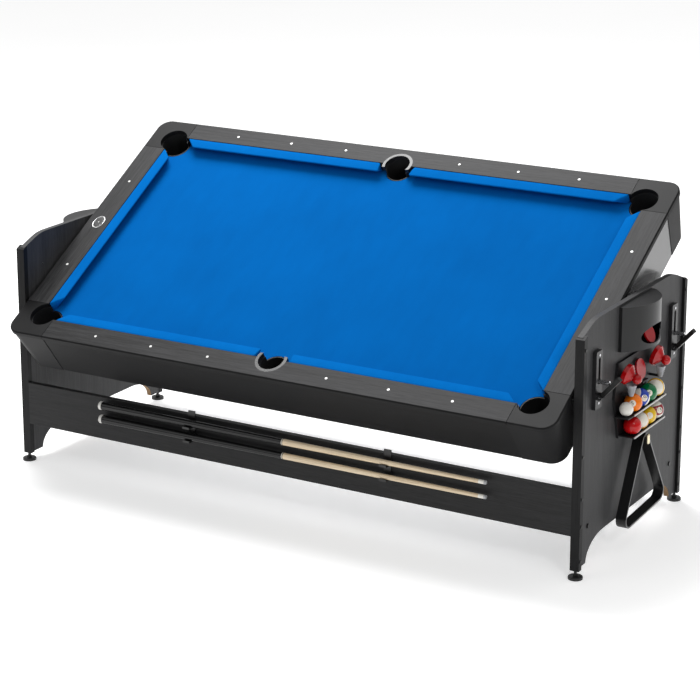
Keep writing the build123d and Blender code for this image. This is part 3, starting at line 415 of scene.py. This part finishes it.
def cueShaftFinish():
    net = Net("cue_shaft")
    grain = net.noise(net.scaled(net.coords(), (1.4, 120, 120)), 4, 6, 0.6)
    fleck = net.noise(net.scaled(net.coords(), (30, 500, 500)), 3, 2)
    tone = grain * 0.8 + fleck * 0.2
    return net.finish(colour=net.ramp(tone, [(0.3, cueLook["shaftDark"]), (0.6, cueLook["shaftLight"])]),
                      rough=0.26 + grain * 0.08, coat=0.5, normal=net.bump(grain, 0.00002))


def cueEndFinish():
    # bumper behind the joint of the cue, ferrule and tip in front of it
    net = Net("cue_ends")
    x = net.axes(net.coords())[0]
    cloud = net.noise(net.coords(), 300, 3)
    front = net.mix(x > cueLook["tipStart"], cueLook["ferrule"], cueLook["tip"])
    bumper = net.ramp(cloud, [(0.3, cueLook["bumperDark"]), (0.7, cueLook["bumperLight"])])
    return net.finish(colour=net.mix(x > 0.0, bumper, front), rough=0.34 + cloud * 0.2)


finishes["cue_butt"] = cueButtFinish()
finishes["cue_shaft"] = cueShaftFinish()
finishes["cue_end"] = cueEndFinish()

# hockey surface: white laminate with air holes and plain field lines
fieldLook = {"holePitch": 0.0254, "holeRadius": 0.0009, "centreRing": 0.13, "lineHalf": 0.003,
             "goalRing": 0.19, "goalX": 0.925, "blueX": 0.33, "dark": (0.76, 0.77, 0.79),
             "light": (0.84, 0.85, 0.86), "red": (0.62, 0.02, 0.02), "blue": (0.01, 0.06, 0.42),
             "hole": (0.02, 0.02, 0.02), "rough": 0.16, "coat": 0.5}


def hockeyFinish():
    net = Net("hockey_surface")
    x, y = net.axes(net.coords(True))[:2]
    pivot = Matrix.Rotation(-bedTilt, 3, "X") @ Vector(bedJoint["pos_m"])
    y = y - pivot.y
    pitch, half = fieldLook["holePitch"], fieldLook["lineHalf"]
    cellX = x % pitch - pitch / 2
    cellY = y % pitch - pitch / 2
    hole = (cellX * cellX + cellY * cellY).root() < fieldLook["holeRadius"]
    ring = abs((x * x + y * y).root() - fieldLook["centreRing"]) < half
    redLines = ring.most(abs(x) < half)
    side = abs(x) - fieldLook["goalX"]
    goal = abs((side * side + y * y).root() - fieldLook["goalRing"]) < half
    blueLines = goal.most(abs(abs(x) - fieldLook["blueX"]) < half)
    cloud = net.noise(net.coords(), 9, 3)
    colour = net.ramp(cloud, [(0.3, fieldLook["dark"]), (0.7, fieldLook["light"])])
    for lines, paint in ((redLines, "red"), (blueLines, "blue"), (hole, "hole")):
        colour = net.mix(lines, colour, fieldLook[paint])
    return net.finish(colour=colour, rough=fieldLook["rough"] + cloud * 0.06, coat=fieldLook["coat"])


finishes["hockey_white"] = hockeyFinish()
print("finishes made:", len(finishes))

slotOf = {part["node"]: part["material_slot"] for part in record["subparts"]}
# the end aprons take the lighter laminate with the painted reflection
ownFinish = {"end_top_rails": "end_rail", "end_aprons": "end_apron"}
for name, piece in nodes.items():
    made = finishes[ownFinish.get(name, slotOf[name])]
    if not piece.material_slots:
        piece.data.materials.append(made)
    for place in piece.material_slots:
        place.material = made
print("frame dressed")


# mesh helpers
def addPiece(name, mesh, slotName, body, finishName=None, smooth=True):
    piece = bpy.data.objects.new(name, mesh)
    bpy.context.scene.collection.objects.link(piece)
    piece.data.materials.append(finishes[finishName or slotName])
    for face in mesh.polygons:
        face.use_smooth = smooth
    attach(piece, body)
    return piece


def meshFrom(name, verts, faces, matrix=None):
    mesh = bpy.data.meshes.new(name)
    mesh.from_pydata([tuple(v) for v in verts], [], faces)
    if matrix is not None:
        mesh.transform(matrix)
    mesh.validate()
    mesh.update()
    return mesh


# cushions: cloth pulled over a rubber nose, rounded where it turns under
bedSizes = {"playLength": 1.765, "playWidth": 0.859, "clothLevel": 0.058, "clothThick": 0.001,
            "cushionDepth": 0.0377, "cornerJaw": 0.066, "sideJaw": 0.060, "sideSpread": -0.006}
# pairs are (in from the back, height) for the back and the sole, (in from the back, down from the top)
# for the top edge, and (in from the end, share of the full section) for the ends
cushionShape = {"nose": 0.0318, "back": 0.0335, "noseRound": 0.0032, "noseFrom": 215, "noseSweep": 125,
                "noseSteps": 8, "crown": 0.0009, "crownSteps": 7, "topStop": 0.002,
                "topEdge": ((0.001, 0.0002), (0.0, 0.0016)),
                "sole": ((0.0, 0.016), (0.0, 0.002), (0.0012, 0.0006), (0.009, 0.0006)),
                "toe": (0.010, 0.0012), "toeSteps": 4,
                "ends": ((0.0, 0.80), (0.0012, 0.90), (0.0028, 0.97), (0.0045, 1.0)), "stations": 48}


def cushionSection():
    # (distance back from the nose, height above the cloth)
    s = cushionShape
    depth, r = bedSizes["cushionDepth"], s["noseRound"]
    points = []
    for k in range(s["noseSteps"] + 1):
        turn = math.radians(s["noseFrom"] - s["noseSweep"] * k / s["noseSteps"])
        points.append((r + r * math.cos(turn), s["nose"] - r + r * math.sin(turn)))
    for k in range(1, s["crownSteps"]):
        share = k / s["crownSteps"]
        points.append((r + (depth - s["topStop"] - r) * share,
                       s["nose"] + (s["back"] - s["nose"]) * share + s["crown"] * math.sin(math.pi * share)))
    points += [(depth - inward, s["back"] - down) for inward, down in s["topEdge"]]
    points += [(depth - inward, height) for inward, height in s["sole"]]
    start, end = (depth - s["toe"][0], s["toe"][1]), points[0]
    for k in range(1, s["toeSteps"]):
        share = k / s["toeSteps"]
        points.append((start[0] + (end[0] - start[0]) * share, start[1] + (end[1] - start[1]) * share))
    return points


def cushionMesh(name, noseStart, noseEnd, startSpread, endSpread, matrix):
    section = cushionSection()
    depth = bedSizes["cushionDepth"]
    middle = (sum(p[0] for p in section) / len(section), sum(p[1] for p in section) / len(section))
    count = cushionShape["stations"]
    rounds = cushionShape["ends"]
    stations = [(along, shrink, 0.0) for along, shrink in rounds]
    stations += [(0.0, 1.0, k / count) for k in range(1, count)]
    stations += [(-along, shrink, 1.0) for along, shrink in reversed(rounds)]
    verts, faces = [], []
    for along, shrink, share in stations:
        for back, height in section:
            b = middle[0] + (back - middle[0]) * shrink
            h = middle[1] + (height - middle[1]) * shrink
            low = noseStart - startSpread * b / depth
            high = noseEnd + endSpread * b / depth
            verts.append((low + (high - low) * share + along, b, h))
    size = len(section)
    for ring in range(len(stations) - 1):
        for k in range(size):
            a, b = ring * size + k, ring * size + (k + 1) % size
            faces.append((a, b, b + size, a + size))
    faces.append(tuple(range(size))[::-1])
    faces.append(tuple(range((len(stations) - 1) * size, len(stations) * size)))
    mesh = meshFrom(name, verts, faces)
    edit = bmesh.new()
    edit.from_mesh(mesh)
    bmesh.ops.recalc_face_normals(edit, faces=edit.faces)
    edit.to_mesh(mesh)
    edit.free()
    mesh.transform(matrix)
    if matrix.to_3x3().determinant() < 0:
        mesh.flip_normals()
    return mesh


def buildCushions():
    halfX, halfY, level = bedSizes["playLength"] / 2, bedSizes["playWidth"] / 2, bedSizes["clothLevel"]
    depth, spread = bedSizes["cushionDepth"], bedSizes["sideSpread"]
    longEnd = halfX - bedSizes["cornerJaw"]
    endEnd = halfY - bedSizes["cornerJaw"]
    cushions = []
    corners = ((-1, -1, "front_left"), (1, -1, "front_right"), (-1, 1, "rear_left"), (1, 1, "rear_right"))
    for sx, sy, side in corners:
        name = "cushion_" + side
        place = bedMatrix @ Matrix.Diagonal((sx, sy, 1, 1)) @ Matrix.Translation((0, halfY, level))
        mesh = cushionMesh(name, bedSizes["sideJaw"], longEnd, spread, depth, place)
        cushions.append(addPiece(name, mesh, "cushion", "bed"))
    for turn, side in ((90, "left"), (-90, "right")):
        name = "cushion_" + side
        across = Matrix.Rotation(math.radians(turn), 4, "Z") @ Matrix.Translation((0, halfX, level))
        place = bedMatrix @ across
        mesh = cushionMesh(name, -endEnd, endEnd, depth, depth, place)
        cushions.append(addPiece(name, mesh, "cushion", "bed"))
    for piece in cushions:
        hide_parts("cushions")


buildCushions()
print("cushions built")

# cloth stretched over the board, cut away at the pockets
clothShape = {"overX": 0.0375, "overY": 0.0375, "cornerPocket": (0.0255, 0.0205), "cornerCut": 0.0525,
              "sidePocket": 0.0385, "sideCut": 0.0465, "arcSteps": 20, "clear": 0.0001}


def arcPoints(centre, radius, start, end, steps):
    return [(centre[0] + radius * math.cos(start + (end - start) * k / steps),
             centre[1] + radius * math.sin(start + (end - start) * k / steps)) for k in range(steps + 1)]


def clothQuarter():
    # one quarter of the outline, from the middle of the long side to the middle of the short side
    s = clothShape
    halfX, halfY = bedSizes["playLength"] / 2, bedSizes["playWidth"] / 2
    edgeX, edgeY = halfX + s["overX"], halfY + s["overY"]
    centre = (0.0, halfY + s["sidePocket"])
    lean = math.asin((centre[1] - edgeY) / s["sideCut"])
    side = arcPoints(centre, s["sideCut"], -math.pi / 2, -lean, s["arcSteps"] // 2)
    corner = (halfX + s["cornerPocket"][0], halfY + s["cornerPocket"][1])
    start = math.pi - math.asin((edgeY - corner[1]) / s["cornerCut"])
    end = math.acos((edgeX - corner[0]) / s["cornerCut"])
    return side + arcPoints(corner, s["cornerCut"], start, 2 * math.pi - end, s["arcSteps"])


def buildCloth():
    quarter = clothQuarter()
    outline = quarter + [(x, -y) for x, y in reversed(quarter)]
    outline += [(-x, -y) for x, y in quarter[1:]] + [(-x, y) for x, y in reversed(quarter)][:-1]
    edit = bmesh.new()
    face = edit.faces.new([edit.verts.new((x, y, bedSizes["clothLevel"])) for x, y in outline])
    made = bmesh.ops.extrude_face_region(edit, geom=[face])
    moved = [g for g in made["geom"] if isinstance(g, bmesh.types.BMVert)]
    bmesh.ops.translate(edit, verts=moved, vec=(0, 0, -bedSizes["clothThick"] + clothShape["clear"]))
    bmesh.ops.recalc_face_normals(edit, faces=edit.faces)
    bmesh.ops.triangulate(edit, faces=[f for f in edit.faces if len(f.verts) > 4])
    mesh = bpy.data.meshes.new("bed_cloth")
    edit.to_mesh(mesh)
    area = sum(f.calc_area() for f in edit.faces) / 2
    edit.free()
    mesh.transform(bedMatrix)
    piece = addPiece("bed_cloth", mesh, "cloth", "bed", smooth=False)
    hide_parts("play_cloth")


buildCloth()
print("cloth laid")

# numbered balls
ballLook = {"radius": 0.028575, "pitch": 0.058, "spotSize": 0.36, "stripeHalf": 0.52, "numberSize": 0.0165,
            "numberLift": 1.0015, "tip": -12, "fineness": 5, "white": (0.80, 0.77, 0.68)}
ballSet = [
    # row, place along it, colour, striped, number, lean of the number (about X, then Z)
    (1, 0, (0.90, 0.20, 0.004), False, "5", (20, -70)),
    (1, 1, (0.01, 0.05, 0.42), True, "10", (64, -40)),
    (1, 2, (0.00, 0.16, 0.05), False, "6", (-25, -60)),
    (1, 3, (0.78, 0.46, 0.02), True, "9", (74, 24)),
    (0, 0, (0.56, 0.004, 0.006), False, "3", (50, 40)),
    (0, 1, (0.72, 0.30, 0.02), True, "13", (70, 32)),
    (0, 2, (0.80, 0.50, 0.005), False, "1", (10, -50)),
    (0, 3, (0.28, 0.01, 0.02), True, "15", (8, -32)),
]


def ballFinish(name, colour, striped):
    net = Net(name)
    x, y, z = net.axes(net.coords())
    radius = ballLook["radius"]
    white = ((y * y + z * z).root() < radius * ballLook["spotSize"]) * (x > 0)
    if striped:
        white = white.most(abs(z) > radius * ballLook["stripeHalf"])
    cloud = net.noise(net.coords(), 40, 3)
    tint = net.ramp(cloud, [(0.3, shade(colour, 0.88)), (0.7, colour)])
    return net.finish(colour=net.mix(white, tint, ballLook["white"]), rough=0.08 + cloud * 0.05, coat=0.2,
                      specular=0.28)


def numberMesh(text, radius):
    # the digits of a ball, wrapped onto its surface
    curve = bpy.data.curves.new("number", "FONT")
    curve.body = text
    curve.size = ballLook["numberSize"]
    curve.align_x = "CENTER"
    curve.align_y = "CENTER"
    holder = bpy.data.objects.new("number", curve)
    mesh = bpy.data.meshes.new_from_object(holder)
    bpy.data.objects.remove(holder)
    edit = bmesh.new()
    edit.from_mesh(mesh)
    bmesh.ops.subdivide_edges(edit, edges=edit.edges, cuts=1)
    for vert in edit.verts:
        across, up = vert.co.x, vert.co.y
        vert.co = Vector((radius, across, up)).normalized() * radius * ballLook["numberLift"]
    edit.to_mesh(mesh)
    edit.free()
    return mesh


def buildBalls():
    low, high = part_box("object_balls")
    radius = ballLook["radius"]
    ink = plastic("ball_number", (0.01, 0.01, 0.01), 0.2)
    for row, place, colour, striped, number, lean in ballSet:
        name = "ball_" + number
        edit = bmesh.new()
        bmesh.ops.create_icosphere(edit, subdivisions=ballLook["fineness"], radius=radius)
        digits = numberMesh(number, radius)
        sphereFaces = len(edit.faces)
        edit.from_mesh(digits)
        edit.faces.ensure_lookup_table()
        for face in edit.faces[sphereFaces:]:
            face.material_index = 1
        mesh = bpy.data.meshes.new(name)
        edit.to_mesh(mesh)
        edit.free()
        piece = bpy.data.objects.new(name, mesh)
        bpy.context.scene.collection.objects.link(piece)
        mesh.materials.append(ballFinish(name, colour, striped))
        mesh.materials.append(ink)
        for face in mesh.polygons:
            face.use_smooth = True
        z = (low[2] + radius) if row == 0 else (high[2] - radius)
        y = low[1] + radius + place * ballLook["pitch"]
        piece.location = ((low[0] + high[0]) / 2, y, z)
        piece.rotation_euler = (math.radians(lean[0]), math.radians(ballLook["tip"]), math.radians(lean[1]))
        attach(piece, "stand")
        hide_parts("object_balls")


buildBalls()
print("balls racked")

# oval badge with a bright rim
badgeLook = {"along": 0.0285, "across": 0.0195, "rim": 0.0014, "height": 0.0012, "outside": 0.0793,
             "railTop": 0.093, "lift": 0.0009, "steps": 72, "tube": 10, "dome": 0.0006,
             "rings": (0.45, 0.8, 0.96)}


def buildBadge():
    across, along = badgeLook["across"], badgeLook["along"]
    steps, tube = badgeLook["steps"], badgeLook["tube"]
    centre = Vector((-(bedSizes["playLength"] / 2 + badgeLook["outside"]), 0.0,
                     badgeLook["railTop"] + badgeLook["lift"]))
    turns = [2 * math.pi * k / steps for k in range(steps)]
    verts, faces = [], []
    for turn in turns:
        out = Vector((math.cos(turn) * across, math.sin(turn) * along, 0))
        normal = Vector((math.cos(turn) * along, math.sin(turn) * across, 0)).normalized()
        for t in range(tube):
            lean = 2 * math.pi * t / tube
            verts.append(centre + out + normal * badgeLook["rim"] * math.cos(lean)
                         + Vector((0, 0, badgeLook["height"] * math.sin(lean))))
    for k in range(steps):
        for t in range(tube):
            a, b = k * tube + t, k * tube + (t + 1) % tube
            c, d = ((k + 1) % steps) * tube + (t + 1) % tube, ((k + 1) % steps) * tube + t
            faces.append((a, d, c, b))
    addPiece("badge_rim", meshFrom("badge_rim", verts, faces, bedMatrix), "sight", "bed", "screws")
    rings = badgeLook["rings"]
    verts = [centre]
    for ring in rings:
        rise = badgeLook["dome"] * (1 - ring * ring)
        verts += [centre + Vector((math.cos(turn) * across * ring, math.sin(turn) * along * ring, rise))
                  for turn in turns]
    faces = [(0, 1 + k, 1 + (k + 1) % steps) for k in range(steps)]
    for ring in range(len(rings) - 1):
        for k in range(steps):
            a, b = 1 + ring * steps + k, 1 + ring * steps + (k + 1) % steps
            faces.append((a, a + steps, b + steps, b))
    addPiece("badge_face", meshFrom("badge_face", verts, faces, bedMatrix), "sight", "bed", "ring_plastic")


buildBadge()
print("badge set")

# studio; a lamp is (name, place, power, size)
studio = {"floor": (0.90, 0.90, 0.90), "reach": 30, "glow": 0.40, "front": 0.10, "top": 0.66, "right": 0.06,
          "rear": 0.26, "aim": (0.1, 0.0, 0.6),
          "lamps": (("key", (-1.9, 1.5, 5.3), 330.0, 3.4), ("fill", (-3.6, -5.2, 3.4), 22.0, 3.5),
                    ("side", (4.4, -3.4, 3.6), 34.0, 0.35))}


def buildStudio():
    r = studio["reach"]
    mesh = meshFrom("floor", [(-r, -r, 0), (r, -r, 0), (r, r, 0), (-r, r, 0)], [(0, 1, 2, 3)])
    floor = bpy.data.objects.new("floor", mesh)
    bpy.context.scene.collection.objects.link(floor)
    net = Net("floor")
    cloud = net.noise(net.coords(), 0.6, 2)
    tint = net.ramp(cloud, [(0.3, shade(studio["floor"], 0.98)), (0.7, studio["floor"])])
    mesh.materials.append(net.finish(colour=tint, rough=0.8, specular=0.1, glowColour=(1, 1, 1),
                                     glow=studio["glow"]))
    world = bpy.data.worlds.new("studio")
    bpy.context.scene.world = world
    world.use_nodes = True
    sky = Net(world)
    x, y, z = sky.axes(sky.node("ShaderNodeTexCoord", output="Generated"))
    light = studio["front"] + studio["top"] * z.most(0)
    light = light + studio["right"] * x.most(0) + studio["rear"] * y.most(0)
    sky.put(sky.shader.inputs["Strength"], light)
    sky.put(sky.shader.inputs["Color"], (1, 1, 1))
    bpy.context.scene.view_settings.view_transform = "Standard"
    for name, place, power, size in studio["lamps"]:
        lamp = bpy.data.lights.new(name, "AREA")
        lamp.energy = power
        lamp.shape = "DISK"
        lamp.size = size
        holder = bpy.data.objects.new(name, lamp)
        bpy.context.scene.collection.objects.link(holder)
        holder.location = place
        aim = Vector(studio["aim"]) - Vector(place)
        holder.rotation_euler = aim.to_track_quat("-Z", "Y").to_euler()


buildStudio()
print("studio lit")
